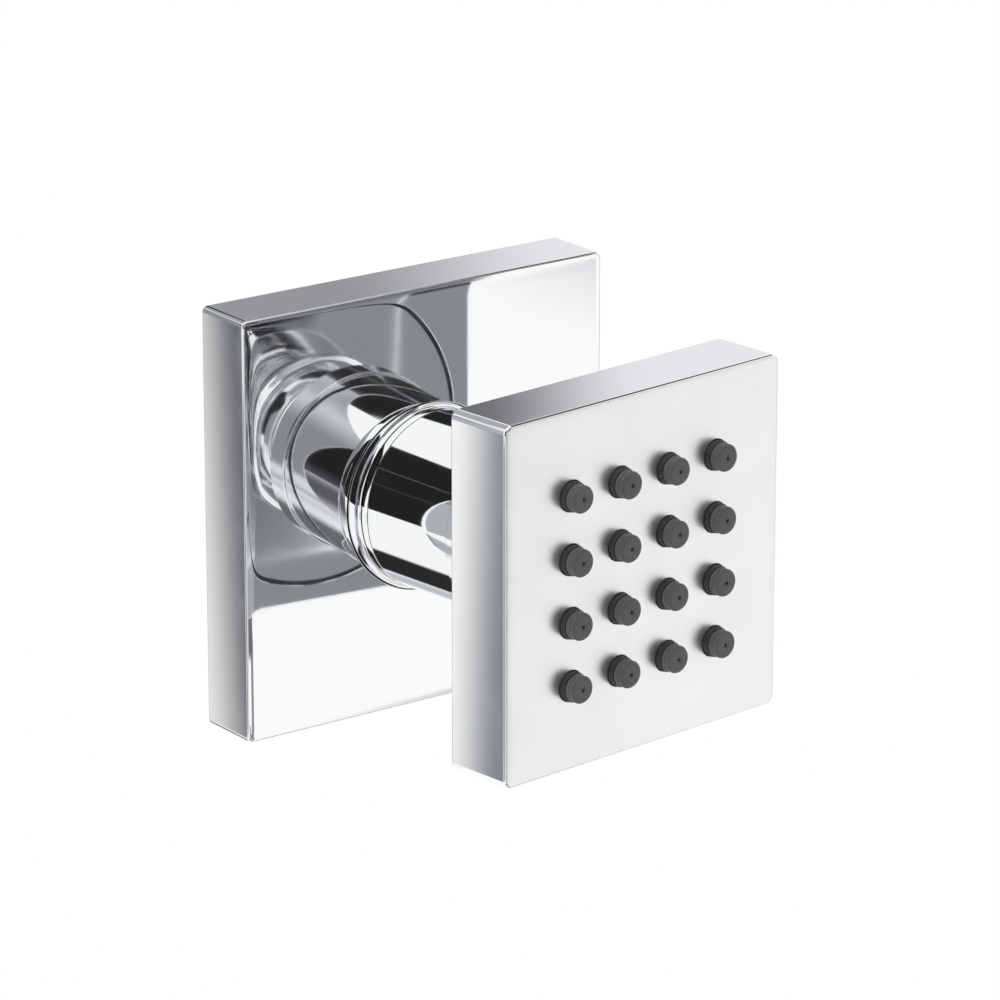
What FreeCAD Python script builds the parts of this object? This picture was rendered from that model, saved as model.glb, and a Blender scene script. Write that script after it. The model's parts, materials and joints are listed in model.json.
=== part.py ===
# Square shower body jet: a hollow wall plate over a threaded inlet body, a ball joint in the
# plate's mouth, a round neck, and a square spray head with a grid of rubber nozzles.
# Sizes are in millimetres. The origin is the centre of the plate's wall face. +Z is up, the
# spray leaves along -Y, and the wall lies behind the plate, on the +Y side.

import FreeCAD, Part
import math
import os

Vector = FreeCAD.Vector

# Ball joint: a fixed ball inside two thin seats, inside the neck's round cavity
ball_radius = 8.5
seat_thickness = 0.85
running_gap = 0.05
ball_bore_radius = 4.0
stem_radius = 5.5
rear_seat_angles = (72.0, 112.0)
front_seal_angles = (26.0, 56.0)

# Swivel: how far the neck leans from square to the wall, and how it stands at rest
swivel_limit = 12.0
rest_pan = 6.5

# Neck: turned body, retaining nut behind it, trim ring and connector in front of it
spigot_wall = 1.45
spigot_length = 4.35
thread_gap = 0.05
nut_wall = 1.75
nut_tail = 4.6
nut_lip = 2.2
nut_front = 1.95
nut_groove_place = 0.75
groove_depth = 0.3
joint_line = 0.1
edge_bevel = 0.25
neck_front = 18.0
neck_thread_radius = 8.0
neck_thread_depth = 7.0
neck_passage_radius = 4.5
neck_washer_thickness = 1.5
trim_ring_proud = 0.3
trim_ring_width = 3.8
trim_ring_play = 0.1
connector_radius = 9.5
connector_collar_radius = 10.4
connector_collar_width = 1.0
connector_groove_pitch = 1.2
connector_groove_width = 0.5
connector_groove_depth = 0.35
connector_spigot_radius = 7.0
connector_spigot_length = 4.8

# Spray head: square block with a round chamber, closed at the back by a round cover
neck_reach = 32.6
head_side = 50.0
head_depth = 10.6
head_corner_round = 1.2
head_front_round = 0.6
head_back_round = 0.3
face_wall = 1.6
chamber_radius = 21.6
cover_step = 0.4
cover_thickness = 2.4
cover_boss_radius = 11.5
cover_boss_height = 2.0
cover_hub_radius = 10.0
cover_hub_height = 1.2
skirt_wall = 2.3
cover_ring_section = 0.7
spreader_thickness = 1.4
spreader_hole_radius = 1.3
mat_thickness = 1.2
disc_gap = 0.3

# Nozzles: moulded on the rubber mat, on a square grid
nozzle_rows = 4
nozzle_pitch = 8.8
nozzle_radius = 2.0
nozzle_wall_gap = 0.15
nozzle_collar_height = 0.85
nozzle_waist_radius = 1.6
nozzle_waist_height = 0.35
nozzle_tip_radius = 1.8
nozzle_tip_height = 1.2
nozzle_tip_round = 0.6
nozzle_bore_radius = 0.5
nozzle_inlet_radius = 1.1

# Wall plate: hollow square shell with a round mouth and a sleeve behind it
plate_side = 60.0
plate_wall = 2.0
plate_front_wall = 2.0
plate_corner_round = 0.8
plate_front_round = 0.5
mouth_clearance = 0.33
mouth_bevel = 0.3
sleeve_wall = 1.8
sleeve_end_gap = 0.3
gasket_width = 3.8
gasket_thickness = 1.6
gasket_play = 0.1

# Inlet body: half inch pipe thread, hexagon, cup round the ball joint
thread_radius = 10.4775
thread_length = 14.0
thread_lead_in = 0.8
cup_floor = 1.3
swing_gap = 0.856
cup_clearance = 0.3
cup_wall = 2.3
cup_height = 4.3
hexagon_thickness = 1.9
plate_ring_section = 0.75
plate_ring_depth = 1.1

# Filter and flow regulator in the inlet's mouth
filter_seat_radius = 8.0
filter_seat_depth = 3.0
filter_washer_thickness = 2.4
filter_washer_hole = 5.4
filter_mesh_thickness = 0.3
mesh_pitch = 1.3
mesh_hole_radius = 0.4
regulator_seat_radius = 6.4
regulator_seat_depth = 5.6
regulator_length = 5.3
regulator_port_radius = 0.9
regulator_port_circle = 3.0
regulator_ports = 6
regulator_ring_section = 0.6
insert_gap = 0.1

# Sizes that follow from the driving ones
seat_inner = ball_radius + running_gap
seat_outer = seat_inner + seat_thickness
cavity_radius = seat_outer + running_gap
spigot_radius = cavity_radius + spigot_wall
nut_bore_radius = spigot_radius + thread_gap
neck_radius = nut_bore_radius + nut_wall
neck_rear = nut_front + joint_line
spigot_rear = neck_rear - spigot_length
trim_ring_rear = neck_front + trim_ring_play
trim_ring_front = trim_ring_rear + trim_ring_width
cover_boss_rear = neck_reach - cover_boss_height
neck_thread_bottom = neck_front - neck_thread_depth

# The widest lean comes with both swivels at their limits
lean_limit = math.acos(math.cos(math.radians(swivel_limit)) ** 2)
nut_tail_radius = math.sqrt(neck_radius ** 2 - nut_tail ** 2)
tail_swing = nut_tail * math.cos(lean_limit) + nut_tail_radius * math.sin(lean_limit)
plate_depth = cup_floor + swing_gap + tail_swing
pivot_height = plate_depth
mouth_radius = neck_radius / math.cos(lean_limit) + mouth_clearance
cup_inner = mouth_radius + cup_clearance
cup_outer = cup_inner + cup_wall
cup_top = hexagon_thickness + cup_height
plate_ring_height = hexagon_thickness + cup_height / 2
plate_ring_radius = cup_outer - plate_ring_depth + plate_ring_section
sleeve_inner = plate_ring_radius + plate_ring_section
sleeve_outer = sleeve_inner + sleeve_wall
pocket_side = plate_side - 2 * plate_wall

# Layers of the spray head, as heights along the neck's axis from the pivot
head_back = neck_reach
head_front = neck_reach + head_depth
face_inside = head_front - face_wall
mat_back = face_inside - mat_thickness
spreader_back = mat_back - spreader_thickness
cover_radius = chamber_radius + cover_step
skirt_outer = chamber_radius - disc_gap
cover_ring_radius = chamber_radius - cover_ring_section
cover_ring_height = (head_back + cover_thickness + spreader_back) / 2
nozzle_grid_start = -nozzle_pitch * (nozzle_rows - 1) / 2


def cylinder(radius, low, high):
    """A round bar on the local axis between two heights."""
    return Part.makeCylinder(radius, high - low, Vector(0, 0, low))


def tube(inner, outer, low, high):
    """A round ring with a square section."""
    return cylinder(outer, low, high).cut(cylinder(inner, low, high))


def turned(points):
    """A solid of revolution from a closed outline of (radius, height) points."""
    outline = [Vector(radius, 0, height) for radius, height in points]
    face = Part.Face(Part.makePolygon(outline + outline[:1]))
    return face.revolve(Vector(0, 0, 0), Vector(0, 0, 1), 360)


def ball(radius, height=0.0):
    """A full ball on the local axis."""
    return Part.makeSphere(radius, Vector(0, 0, height))


def ring_seal(radius, section, height):
    """A rubber ring of round section."""
    return Part.makeTorus(radius, section, Vector(0, 0, height))


def square_block(side, low, high):
    """A square block centred on the local axis."""
    half = side / 2
    return Part.makeBox(side, side, high - low, Vector(-half, -half, low))


def hexagon(flats, low, high):
    """A hexagonal bar with a flat to each side."""
    corner = flats / 2 / math.cos(math.pi / 6)
    points = []
    for index in range(6):
        turn = math.radians(60 * index)
        points.append(Vector(corner * math.cos(turn), corner * math.sin(turn), low))
    face = Part.Face(Part.makePolygon(points + points[:1]))
    return face.extrude(Vector(0, 0, high - low))


def bevelled_bar(radius, low, high, low_bevel, high_bevel):
    """A round bar with a small bevel on each end that has one."""
    points = [(0, low)]
    points.append((radius - low_bevel, low))
    if low_bevel > 0:
        points.append((radius, low + low_bevel))
    if high_bevel > 0:
        points.append((radius, high - high_bevel))
    points.append((radius - high_bevel, high))
    points.append((0, high))
    return turned(points)


def edges_along_axis(shape, half_side):
    """The four outer corner edges of a square block, which run along the local axis."""
    found = []
    for edge in shape.Edges:
        box = edge.BoundBox
        outer = abs(abs(box.Center.x) - half_side) < 0.01 and abs(abs(box.Center.y) - half_side) < 0.01
        if outer and box.XLength < 0.01 and box.YLength < 0.01:
            found.append(edge)
    return found


def edges_at_height(shape, height):
    """The edges that lie flat at one height."""
    return [edge for edge in shape.Edges
            if abs(edge.BoundBox.ZMin - height) < 0.001 and abs(edge.BoundBox.ZMax - height) < 0.001]


def rounded_block(side, low, high, corner_round, high_round, low_round):
    """A square block with rounded corners and softened front and back edges."""
    block = square_block(side, low, high)
    block = block.makeFillet(corner_round, edges_along_axis(block, side / 2))
    block = block.makeFillet(high_round, edges_at_height(block, high))
    if low_round > 0:
        block = block.makeFillet(low_round, edges_at_height(block, low))
    return block


def seat_shell(angles):
    """A thin zone of a hollow ball between two angles from the neck's axis."""
    first, last = [math.radians(angle) for angle in angles]
    middle = (first + last) / 2

    def at(radius, angle):
        return Vector(radius * math.sin(angle), 0, radius * math.cos(angle))

    outer = Part.Arc(at(seat_outer, first), at(seat_outer, middle), at(seat_outer, last))
    inner = Part.Arc(at(seat_inner, last), at(seat_inner, middle), at(seat_inner, first))
    tail = Part.LineSegment(at(seat_outer, last), at(seat_inner, last))
    head = Part.LineSegment(at(seat_inner, first), at(seat_outer, first))
    wire = Part.Wire([part.toShape() for part in (outer, tail, inner, head)])
    return Part.Face(wire).revolve(Vector(0, 0, 0), Vector(0, 0, 1), 360)


def nozzle_places():
    """Centres of the nozzles on the spray face."""
    places = []
    for row in range(nozzle_rows):
        for column in range(nozzle_rows):
            x = nozzle_grid_start + column * nozzle_pitch
            y = nozzle_grid_start + row * nozzle_pitch
            places.append(Vector(x, y, 0))
    return places


def copies(shape, places):
    """One compound of a shape repeated at several places."""
    repeated = []
    for place in places:
        single = shape.copy()
        single.translate(place)
        repeated.append(single)
    return Part.makeCompound(repeated)


def make_wall_plate():
    """Square cover plate, hollow behind, with a round mouth and an inner sleeve."""
    inside = plate_depth - plate_front_wall
    shell = rounded_block(plate_side, 0, plate_depth, plate_corner_round, plate_front_round, 0)
    shell = shell.cut(square_block(pocket_side, 0, inside))
    sleeve_start = hexagon_thickness + sleeve_end_gap
    shell = shell.fuse(tube(sleeve_inner, sleeve_outer, sleeve_start, inside))
    flare = mouth_radius + mouth_bevel
    mouth = turned([
        (0, inside - 1),
        (mouth_radius, inside - 1),
        (mouth_radius, plate_depth - mouth_bevel),
        (flare, plate_depth),
        (flare, plate_depth + 1),
        (0, plate_depth + 1),
    ])
    return shell.cut(mouth).removeSplitter()


def make_wall_gasket():
    """Flat foam frame inside the plate's rim that seals it to the tiles."""
    side = pocket_side - 2 * gasket_play
    frame = square_block(side, 0, gasket_thickness)
    return frame.cut(square_block(side - 2 * gasket_width, 0, gasket_thickness))


def make_inlet_body():
    """Turned brass inlet: pipe thread, hexagon, cup, stem and the fixed ball."""
    body = bevelled_bar(thread_radius, -thread_length, 0, thread_lead_in, 0)
    body = body.fuse(hexagon(2 * cup_outer, 0, hexagon_thickness))
    body = body.fuse(bevelled_bar(cup_outer, 0, cup_top, 0, edge_bevel))
    body = body.cut(cylinder(cup_inner, cup_floor, cup_top + 1))
    body = body.fuse(cylinder(stem_radius, 0, pivot_height))
    body = body.fuse(ball(ball_radius, pivot_height))
    groove = tube(cup_outer - plate_ring_depth, cup_outer + 1,
                  plate_ring_height - plate_ring_section - insert_gap,
                  plate_ring_height + plate_ring_section + insert_gap)
    body = body.cut(groove)
    body = body.cut(cylinder(ball_bore_radius, -thread_length, pivot_height + ball_radius))
    filter_floor = -thread_length + filter_seat_depth
    body = body.cut(cylinder(filter_seat_radius, -thread_length, filter_floor))
    body = body.cut(cylinder(regulator_seat_radius, filter_floor, filter_floor + regulator_seat_depth))
    return body.removeSplitter()


def make_plate_ring():
    """Rubber ring round the cup that grips the plate's sleeve."""
    return ring_seal(plate_ring_radius, plate_ring_section, plate_ring_height)


def make_filter_mesh():
    """Punched stainless filter disc on the floor of the inlet's mouth."""
    high = -thread_length + filter_seat_depth
    low = high - filter_mesh_thickness
    disc = cylinder(filter_seat_radius - insert_gap, low, high)
    reach = int(filter_washer_hole / mesh_pitch) + 1
    places = []
    for row in range(-reach, reach + 1):
        for column in range(-reach, reach + 1):
            x = column * mesh_pitch
            y = row * mesh_pitch
            if math.hypot(x, y) + mesh_hole_radius < filter_washer_hole:
                places.append(Vector(x, y, 0))
    return disc.cut(copies(cylinder(mesh_hole_radius, low, high), places))


def make_filter_washer():
    """Rubber washer that holds the filter disc in the inlet's mouth."""
    high = -thread_length + filter_seat_depth - filter_mesh_thickness
    return tube(filter_washer_hole, filter_seat_radius - insert_gap, high - filter_washer_thickness, high)


def regulator_middle():
    """Height of the middle of the flow regulator."""
    return -thread_length + filter_seat_depth + regulator_length / 2


def make_flow_regulator():
    """Plastic insert with a ring of small ports that evens the flow."""
    low = regulator_middle() - regulator_length / 2
    high = regulator_middle() + regulator_length / 2
    radius = regulator_seat_radius - insert_gap
    insert = bevelled_bar(radius, low, high, edge_bevel, edge_bevel)
    half_groove = regulator_ring_section + insert_gap
    groove_floor = regulator_seat_radius - 2 * regulator_ring_section
    insert = insert.cut(tube(groove_floor, radius + 1,
                             regulator_middle() - half_groove, regulator_middle() + half_groove))
    places = []
    for index in range(regulator_ports):
        turn = 2 * math.pi * index / regulator_ports
        places.append(Vector(regulator_port_circle * math.cos(turn), regulator_port_circle * math.sin(turn), 0))
    return insert.cut(copies(cylinder(regulator_port_radius, low, high), places))


def make_regulator_ring():
    """Rubber ring round the flow regulator."""
    radius = regulator_seat_radius - regulator_ring_section
    return ring_seal(radius, regulator_ring_section, regulator_middle())


def make_swivel_nut():
    """Retaining nut: ball shaped outside, so that it turns freely in the plate's mouth."""
    slab = cylinder(neck_radius + 1, -nut_tail, 0)
    shell = ball(neck_radius).common(slab)
    shell = shell.fuse(bevelled_bar(neck_radius, 0, nut_front, 0, edge_bevel))
    shell = shell.cut(ball(cavity_radius))
    shell = shell.cut(cylinder(nut_bore_radius, nut_lip - nut_tail, nut_front))
    groove = turned([
        (neck_radius + groove_depth, nut_groove_place - 2 * groove_depth),
        (neck_radius + groove_depth, nut_groove_place + 2 * groove_depth),
        (neck_radius - groove_depth, nut_groove_place),
    ])
    return shell.cut(groove).removeSplitter()


def make_neck_body():
    """Turned neck: round chrome outside, ball cavity behind, passage and thread in front."""
    body = bevelled_bar(neck_radius, neck_rear, neck_front, edge_bevel, edge_bevel)
    body = body.fuse(cylinder(spigot_radius, spigot_rear, neck_rear + edge_bevel))
    body = body.cut(ball(cavity_radius))
    body = body.cut(cylinder(cavity_radius, spigot_rear, 0))
    body = body.cut(cylinder(neck_passage_radius, 0, neck_front))
    body = body.cut(cylinder(neck_thread_radius, neck_thread_bottom, neck_front))
    return body.removeSplitter()


def make_neck_washer():
    """Flat rubber washer at the bottom of the neck's thread."""
    outer = neck_thread_radius - insert_gap
    inner = neck_passage_radius + insert_gap
    return tube(inner, outer, neck_thread_bottom, neck_thread_bottom + neck_washer_thickness)


def make_trim_ring():
    """Loose chrome ring between the neck and the connector's collar."""
    radius = neck_radius + trim_ring_proud
    ring = bevelled_bar(radius, trim_ring_rear, trim_ring_front, edge_bevel, edge_bevel)
    return ring.cut(cylinder(connector_radius + thread_gap, trim_ring_rear, trim_ring_front))


def make_connector():
    """Turned connector between neck and head, with a ridged barrel."""
    collar_front = trim_ring_front + trim_ring_play + connector_collar_width
    spigot_front = cover_boss_rear + connector_spigot_length
    thread_rear = neck_thread_bottom + neck_washer_thickness
    part = cylinder(neck_thread_radius - thread_gap, thread_rear, neck_front)
    part = part.fuse(cylinder(connector_radius, neck_front, cover_boss_rear))
    collar = bevelled_bar(connector_collar_radius, collar_front - connector_collar_width, collar_front,
                          0, edge_bevel)
    part = part.fuse(collar)
    part = part.fuse(cylinder(connector_spigot_radius, cover_boss_rear, spigot_front))
    height = collar_front + connector_groove_pitch / 2
    while height + connector_groove_width < cover_boss_rear - connector_groove_pitch / 2:
        floor = connector_radius - connector_groove_depth
        part = part.cut(tube(floor, connector_radius + 1, height, height + connector_groove_width))
        height += connector_groove_pitch
    part = part.cut(cylinder(neck_passage_radius, thread_rear, spigot_front))
    return part.removeSplitter()


def make_head_shell():
    """Square spray head block with a round chamber and a hole for each nozzle."""
    block = rounded_block(head_side, head_back, head_front, head_corner_round,
                          head_front_round, head_back_round)
    block = block.cut(cylinder(chamber_radius, head_back, face_inside))
    block = block.cut(cylinder(cover_radius, head_back, head_back + cover_thickness))
    hole = cylinder(nozzle_radius + nozzle_wall_gap, face_inside, head_front)
    return block.cut(copies(hole, nozzle_places()))


def make_back_cover():
    """Round cover at the back of the head, with the connector's boss and a clamping skirt."""
    cover_front = head_back + cover_thickness
    hub_front = cover_front + cover_hub_height
    part = bevelled_bar(cover_radius - thread_gap, head_back, cover_front, edge_bevel, 0)
    part = part.fuse(bevelled_bar(cover_boss_radius, cover_boss_rear, head_back, 2 * edge_bevel, 0))
    part = part.fuse(cylinder(cover_hub_radius, cover_front, hub_front))
    part = part.fuse(tube(skirt_outer - skirt_wall, skirt_outer, cover_front, spreader_back))
    groove_floor = cover_ring_radius - cover_ring_section
    part = part.cut(tube(groove_floor, chamber_radius,
                         cover_ring_height - cover_ring_section - insert_gap,
                         cover_ring_height + cover_ring_section + insert_gap))
    part = part.cut(cylinder(neck_passage_radius, cover_boss_rear, hub_front))
    thread_front = cover_boss_rear + connector_spigot_length
    part = part.cut(cylinder(connector_spigot_radius + thread_gap, cover_boss_rear, thread_front))
    return part.removeSplitter()


def make_cover_ring():
    """Rubber ring between the cover's skirt and the chamber wall."""
    return ring_seal(cover_ring_radius, cover_ring_section, cover_ring_height)


def make_spreader_plate():
    """Plastic disc that backs the rubber mat, with a port behind each nozzle."""
    disc = cylinder(chamber_radius - disc_gap, spreader_back, mat_back)
    return disc.cut(copies(cylinder(spreader_hole_radius, spreader_back, mat_back), nozzle_places()))


def make_nozzle_mat():
    """Rubber mat with all nozzles moulded on it, each with a groove and a rounded tip."""
    mat = cylinder(chamber_radius - disc_gap, mat_back, face_inside)
    collar_top = head_front + nozzle_collar_height
    waist_top = collar_top + nozzle_waist_height
    tip_top = waist_top + nozzle_tip_height
    outline = [
        (0, mat_back),
        (nozzle_radius, mat_back),
        (nozzle_radius, collar_top),
        (nozzle_waist_radius, collar_top),
        (nozzle_waist_radius, waist_top),
        (nozzle_tip_radius, waist_top),
        (nozzle_tip_radius, tip_top - nozzle_tip_round),
        (nozzle_tip_radius - nozzle_tip_round * 0.3, tip_top - nozzle_tip_round * 0.3),
        (nozzle_tip_radius - nozzle_tip_round, tip_top),
        (0, tip_top),
    ]
    mat = mat.fuse(copies(turned(outline), nozzle_places()).Solids)
    bore = turned([
        (0, mat_back),
        (nozzle_inlet_radius, mat_back),
        (nozzle_inlet_radius, head_front),
        (nozzle_bore_radius, waist_top),
        (nozzle_bore_radius, tip_top),
        (0, tip_top),
    ])
    return mat.cut(copies(bore, nozzle_places())).removeSplitter()


def on_wall(shape):
    """Turn a piece from its own axis to the wall's: heights run away from the wall."""
    placed = shape.copy()
    placed.rotate(Vector(0, 0, 0), Vector(1, 0, 0), 90)
    return placed


def on_neck(shape):
    """Place a piece of the swivelling neck or head: heights run out from the pivot."""
    placed = on_wall(shape)
    placed.rotate(Vector(0, 0, 0), Vector(0, 0, 1), rest_pan)
    placed.translate(Vector(0, -pivot_height, 0))
    return placed


fixed_pieces = {
    "wall_plate": make_wall_plate,
    "wall_gasket": make_wall_gasket,
    "inlet_body": make_inlet_body,
    "plate_ring": make_plate_ring,
    "filter_washer": make_filter_washer,
    "filter_mesh": make_filter_mesh,
    "flow_regulator": make_flow_regulator,
    "regulator_ring": make_regulator_ring,
}

swivelling_pieces = {
    "rear_ball_seat": lambda: seat_shell(rear_seat_angles),
    "front_ball_seal": lambda: seat_shell(front_seal_angles),
    "swivel_nut": make_swivel_nut,
    "neck_body": make_neck_body,
    "neck_washer": make_neck_washer,
    "trim_ring": make_trim_ring,
    "connector": make_connector,
    "head_shell": make_head_shell,
    "back_cover": make_back_cover,
    "cover_ring": make_cover_ring,
    "spreader_plate": make_spreader_plate,
    "nozzle_mat": make_nozzle_mat,
}


def main():
    """Build each piece and write it to its own file."""
    os.makedirs("parts", exist_ok=True)
    groups = ((fixed_pieces, on_wall), (swivelling_pieces, on_neck))
    for pieces, place in groups:
        for name, make in pieces.items():
            shape = place(make())
            shape.exportStep(f"parts/{name}.step")
            print(name, "valid", shape.isValid(), "solids", len(shape.Solids), "volume", round(shape.Volume, 1))
    print("plate depth", round(plate_depth, 3), "neck radius", round(neck_radius, 3),
          "mouth radius", round(mouth_radius, 3), "cup outer", round(cup_outer, 3))


main()
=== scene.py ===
"""Looks of a square chrome shower body jet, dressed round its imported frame.

The frame carries the real sizes and places. This script models the visible pieces again
with clean curved surfaces, gives every piece its finish, and sets up a pale studio with a
camera at the photograph's viewing angle.
"""

import json
import logging
import math
from collections.abc import Callable, Sequence
from dataclasses import dataclass
from enum import Enum

import bpy
from mathutils import Matrix, Vector


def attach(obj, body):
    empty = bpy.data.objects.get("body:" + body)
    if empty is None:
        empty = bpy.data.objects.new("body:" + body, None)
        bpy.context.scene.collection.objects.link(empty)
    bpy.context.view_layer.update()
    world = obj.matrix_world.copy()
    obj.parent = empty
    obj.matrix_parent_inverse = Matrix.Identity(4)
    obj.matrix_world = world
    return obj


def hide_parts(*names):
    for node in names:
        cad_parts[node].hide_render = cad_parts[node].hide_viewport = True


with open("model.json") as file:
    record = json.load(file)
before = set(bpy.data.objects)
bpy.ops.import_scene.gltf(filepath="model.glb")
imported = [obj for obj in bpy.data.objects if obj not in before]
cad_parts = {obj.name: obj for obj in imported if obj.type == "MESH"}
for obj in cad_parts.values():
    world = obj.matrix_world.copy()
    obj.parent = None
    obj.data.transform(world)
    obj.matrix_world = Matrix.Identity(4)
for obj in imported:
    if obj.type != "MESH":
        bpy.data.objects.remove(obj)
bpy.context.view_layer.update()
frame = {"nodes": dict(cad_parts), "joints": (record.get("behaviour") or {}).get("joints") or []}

MM = 0.001
LOG = logging.getLogger("body_jet")

# Points closer than this are one point, in metres.
WELD = 0.004 * MM
# A place this near to a face counts as on it, in millimetres.
NEAR = 0.01
# How far a cutter sticks out of what it cuts, in millimetres.
SPARE = 1.0
# How far a blank stands clear of what it trims, in millimetres.
CLEAR = 0.1
# A rounded corner takes at most this share of a side.
EASE_SHARE = 0.45
# Radians that a wave texture turns through in a metre, at a scale of 1.
WAVE_RADIANS = 20
# Crowning a front leaves alone what lies deeper than this under it, in millimetres.
CROWN_SKIN = 0.9
# Where a crown's rings lie, as shares of its fall.
CROWN_RINGS = (0.7, 1.0, 1.4, 1.9, 2.5, 3.2, 4.2, 5.5)

Point = tuple[float, float]
Rounding = tuple[float, int]
Test = Callable[[Vector], bool]


class Body(Enum):
    """The bodies that the modelled pieces ride on."""

    WALL_SIDE = "wall_side"
    SPRAY_HEAD = "spray_head"


class Slot(Enum):
    """The record's material slots that the modelled pieces belong to."""

    CHROME = "chrome"
    BRASS = "brass"
    NOZZLE_RUBBER = "nozzle_rubber"
    SEAL_RUBBER = "seal_rubber"
    FOAM = "foam"


def linear(colour: str) -> tuple[float, float, float, float]:
    """Turn an sRGB hex colour into linear light.

    Args:
        colour: Six hex digits after a hash sign.

    Returns:
        Red, green, blue and a full alpha.
    """
    parts = [int(colour[at:at + 2], 16) / 255 for at in (1, 3, 5)]
    red, green, blue = (p / 12.92 if p <= 0.04045 else ((p + 0.055) / 1.055) ** 2.4 for p in parts)
    return red, green, blue, 1.0


def feed(tree: bpy.types.NodeTree, node: bpy.types.Node, inputs: dict) -> None:
    """Give a node its inputs.

    Args:
        tree: The node tree that holds the node.
        node: The node.
        inputs: Socket name or number to a value, or to the output socket that feeds it.
    """
    for name, value in inputs.items():
        if isinstance(value, bpy.types.NodeSocket):
            tree.links.new(value, node.inputs[name])
        else:
            node.inputs[name].default_value = value


def add_node(tree: bpy.types.NodeTree, kind: str, inputs: dict | None = None, **settings) -> bpy.types.Node:
    """Add one shader node.

    Args:
        tree: The node tree that gets the node.
        kind: The node's type name.
        inputs: Its inputs, as for feed.
        **settings: The node's own properties.

    Returns:
        The new node.
    """
    node = tree.nodes.new(kind)
    for name, value in settings.items():
        setattr(node, name, value)
    feed(tree, node, inputs or {})
    return node


def start_material(name: str) -> tuple[
        bpy.types.Material, bpy.types.NodeTree, bpy.types.Node, bpy.types.NodeSocket]:
    """Start a material that has one principled shader.

    Args:
        name: The material's name.

    Returns:
        The material, its node tree, its shader, and the piece's own coordinates.
    """
    material = bpy.data.materials.new(name)
    material.use_nodes = True
    tree = material.node_tree
    place = add_node(tree, "ShaderNodeTexCoord").outputs["Object"]
    return material, tree, tree.nodes["Principled BSDF"], place


@dataclass(frozen=True)
class Placement:
    """Where an axis lies in the frame: a piece's own heights run along it from its origin."""

    matrix: Matrix

    def span(self, node: str) -> tuple[Vector, Vector]:
        """Measure a CAD node along this axis.

        Args:
            node: The CAD node's name.

        Returns:
            Its lowest and highest corner in millimetres, with heights as z.
        """
        inverse = self.matrix.inverted()
        points = [inverse @ vertex.co / MM for vertex in frame["nodes"][node].data.vertices]
        low = Vector([min(point[axis] for point in points) for axis in range(3)])
        high = Vector([max(point[axis] for point in points) for axis in range(3)])
        return low, high

    def rear(self, node: str) -> float:
        """The height at which a CAD node starts, in millimetres."""
        return self.span(node)[0].z

    def front(self, node: str) -> float:
        """The height at which a CAD node ends, in millimetres."""
        return self.span(node)[1].z

    def radius(self, node: str) -> float:
        """The outer radius of a round CAD node, in millimetres."""
        return self.span(node)[1].y


def wall_axis() -> Placement:
    """The wall plate's axis, which starts at the wall and runs out of it."""
    return Placement(Matrix.Rotation(math.pi / 2, 4, "X"))


def neck_axis() -> Placement:
    """The neck's axis at rest, from the ball joint's centre to the spray face.

    Returns:
        The axis, with the head's upper side towards its y.
    """
    joint = next(joint for joint in frame["joints"] if joint["name"] == "head_spin")
    out = Vector(joint["axis"])
    up = Vector((0, 0, 1))
    turn = Matrix((up.cross(out), up, out)).transposed().to_4x4()
    return Placement(Matrix.Translation(Vector(joint["pos_m"])) @ turn)


def eased(outline: Sequence[Point], ease: float, steps: int = 4) -> list[Point]:
    """Round the corners of a closed outline.

    Args:
        outline: Radius and height of each corner, in millimetres.
        ease: How far from a corner its rounding starts, in millimetres.
        steps: Straight runs in each rounding.

    Returns:
        The outline with a short curve at each corner.
    """
    softened: list[Point] = []
    count = len(outline)
    for index, corner in enumerate(outline):
        here = Vector(corner)
        before = Vector(outline[index - 1]) - here
        after = Vector(outline[(index + 1) % count]) - here
        start = here + before.normalized() * min(ease, before.length * EASE_SHARE)
        end = here + after.normalized() * min(ease, after.length * EASE_SHARE)
        for step in range(steps + 1):
            share = step / steps
            point = start * (1 - share) ** 2 + here * 2 * share * (1 - share) + end * share ** 2
            softened.append((point.x, point.y))
    return softened


def arc(across: float, height: float, radius: float, first: float, last: float, steps: int) -> list[Point]:
    """Follow a round stretch of an outline.

    Args:
        across: Distance of the stretch's centre from the axis, in millimetres.
        height: Height of that centre, in millimetres.
        radius: The stretch's own radius, in millimetres.
        first: Where it starts, in radians from straight outwards towards the front.
        last: Where it ends, in radians.
        steps: Straight runs along it.

    Returns:
        The points from one end to the other.
    """
    turns = [first + (last - first) * step / steps for step in range(steps + 1)]
    return [(across + radius * math.cos(turn), height + radius * math.sin(turn)) for turn in turns]


def clear_bench() -> None:
    """Leave edit mode and select nothing."""
    if bpy.context.object and bpy.context.object.mode != "OBJECT":
        bpy.ops.object.mode_set(mode="OBJECT")
    bpy.ops.object.select_all(action="DESELECT")


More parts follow.
